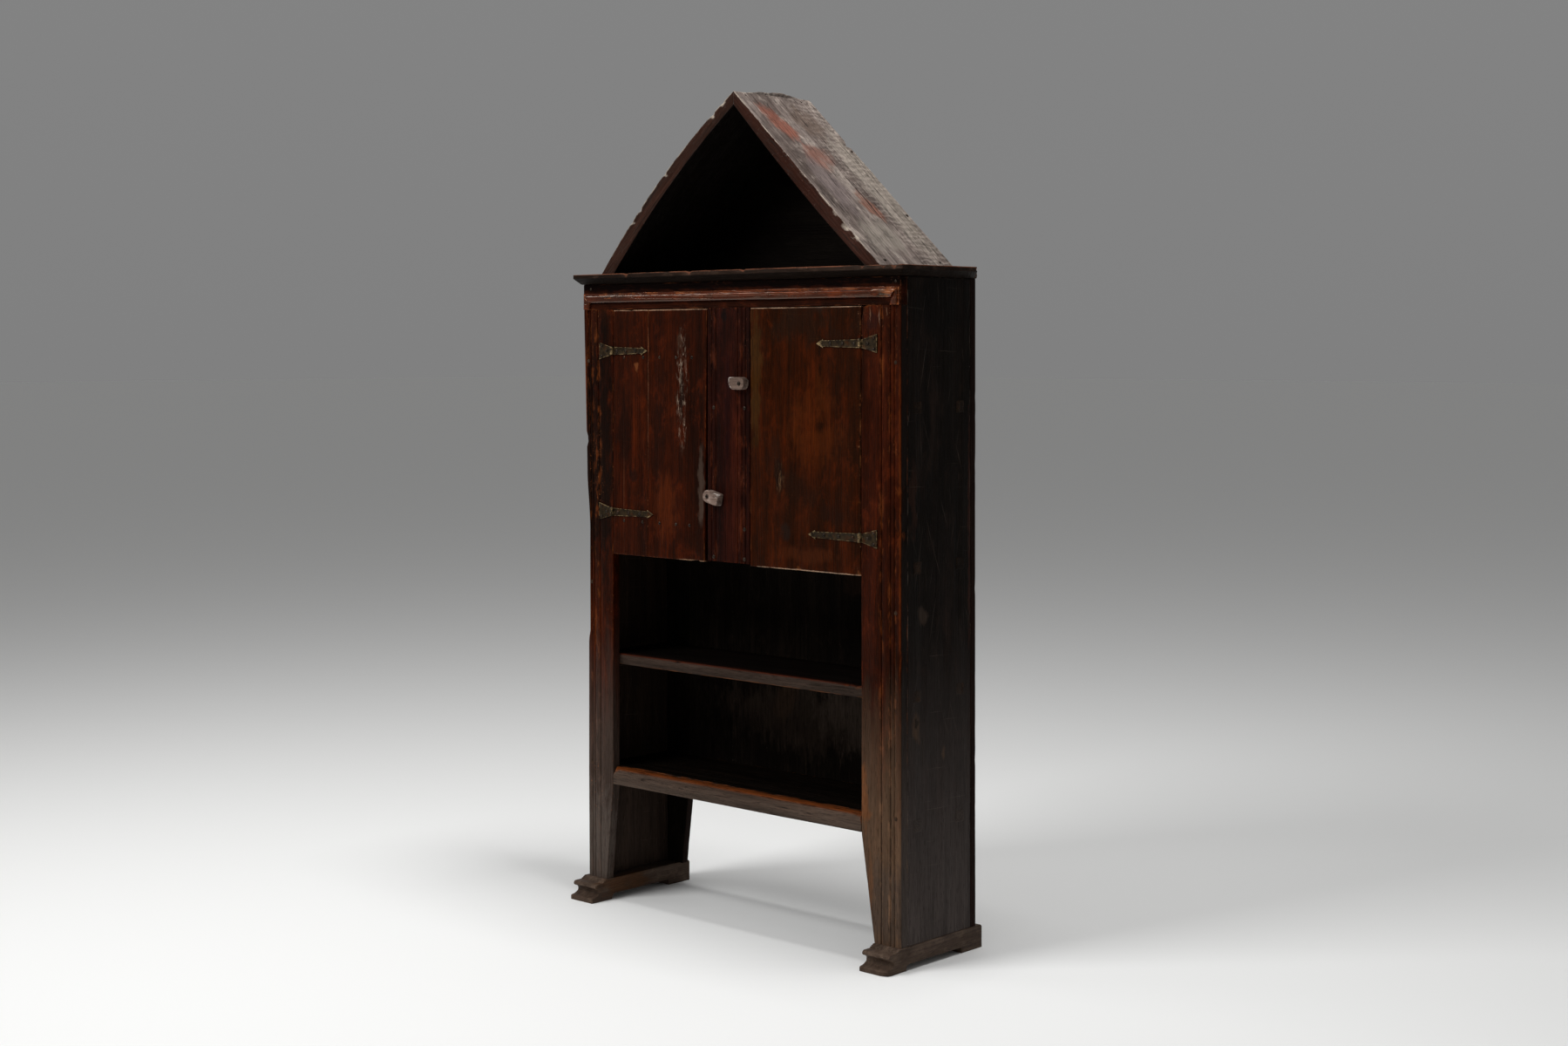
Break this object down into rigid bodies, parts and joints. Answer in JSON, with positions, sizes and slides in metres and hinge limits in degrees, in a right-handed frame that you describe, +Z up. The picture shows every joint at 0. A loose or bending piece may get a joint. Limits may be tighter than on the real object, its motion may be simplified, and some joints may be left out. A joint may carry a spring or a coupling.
{
  "type": "gabled cupboard",
  "caption": "Tall narrow plank cupboard with a pitched plank roof over an open niche, strap-hinged doors on turn buttons, open shelves and sled feet.",
  "frame": {"origin": "on the floor, in the middle of the box round the whole cupboard", "axes": "+X to the cupboard's right as seen from the front, +Y to its back, +Z up"},
  "size_m": [1.028, 0.327, 1.9],
  "materials": {
    "front_wood": "worn waxed dark red-brown, satin",
    "side_wood": "near-black brown, scratched, satin",
    "inner_wood": "dry grey-brown, matt",
    "roof_wood": "weathered grey-brown, rough",
    "foot_wood": "worn brown, satin",
    "button_wood": "weathered grey-brown, matt",
    "peg_wood": "end grain, matt",
    "hinge_iron": "dark patinated, worn edges",
    "nail_iron": "dark patinated"
  },
  "bodies": {
    "carcass": {"left_front_stile": "front_wood", "right_front_stile": "front_wood", "top_rail": "front_wood", "center_muntin": "front_wood", "left_side_board": "side_wood", "right_side_board": "side_wood", "left_rear_stile": "side_wood", "right_rear_stile": "side_wood", "top_board": "side_wood", "upper_shelf": "inner_wood", "cupboard_floor": "inner_wood", "middle_shelf": "inner_wood", "bottom_shelf": "inner_wood", "gable_back": "inner_wood", "back_board_1": "inner_wood", "back_board_2": "inner_wood", "back_board_3": "inner_wood", "back_board_4": "inner_wood", "back_board_5": "inner_wood", "back_board_6": "inner_wood", "left_roof_board": "roof_wood", "right_roof_board": "roof_wood", "left_foot": "foot_wood", "right_foot": "foot_wood", "stile_pegs": "peg_wood", "left_upper_hinge_leaf": "hinge_iron", "left_upper_hinge_pin": "hinge_iron", "left_lower_hinge_leaf": "hinge_iron", "left_lower_hinge_pin": "hinge_iron", "right_upper_hinge_leaf": "hinge_iron", "right_upper_hinge_pin": "hinge_iron", "right_lower_hinge_leaf": "hinge_iron", "right_lower_hinge_pin": "hinge_iron", "upper_button_pivot": "hinge_iron", "lower_button_pivot": "hinge_iron", "back_nails": "nail_iron", "rail_nails": "nail_iron", "top_board_nails": "nail_iron", "roof_nails": "nail_iron", "muntin_nails": "nail_iron", "hinge_leaf_nails": "nail_iron"},
    "left_door": {"left_door_outer_board": "front_wood", "left_door_inner_board": "front_wood", "left_door_upper_batten": "inner_wood", "left_door_lower_batten": "inner_wood", "left_upper_hinge_strap": "hinge_iron", "left_lower_hinge_strap": "hinge_iron", "left_door_nails": "nail_iron"},
    "right_door": {"right_door_board": "front_wood", "right_upper_hinge_strap": "hinge_iron", "right_lower_hinge_strap": "hinge_iron", "right_door_nails": "nail_iron"},
    "upper_button": {"upper_turn_button": "button_wood"},
    "lower_button": {"lower_turn_button": "button_wood"}
  },
  "joints": [
    {"name": "left_door_swing", "type": "hinge", "parent": "carcass", "child": "left_door", "pos_m": [-0.39725, -0.1183, 1.12], "axis": [0, 0, -1], "range_deg": [0, 160]},
    {"name": "right_door_swing", "type": "hinge", "parent": "carcass", "child": "right_door", "pos_m": [0.37925, -0.1183, 1.12], "axis": [0, 0, 1], "range_deg": [0, 160]},
    {"name": "upper_button_turn", "type": "hinge", "parent": "carcass", "child": "upper_button", "pos_m": [0.034, -0.1135, 1.239], "axis": [0, -1, 0], "range_deg": [-90, 270]},
    {"name": "lower_button_turn", "type": "hinge", "parent": "carcass", "child": "lower_button", "pos_m": [-0.066, -0.1135, 0.981], "axis": [0, -1, 0], "range_deg": [-76, 284]}
  ]
}
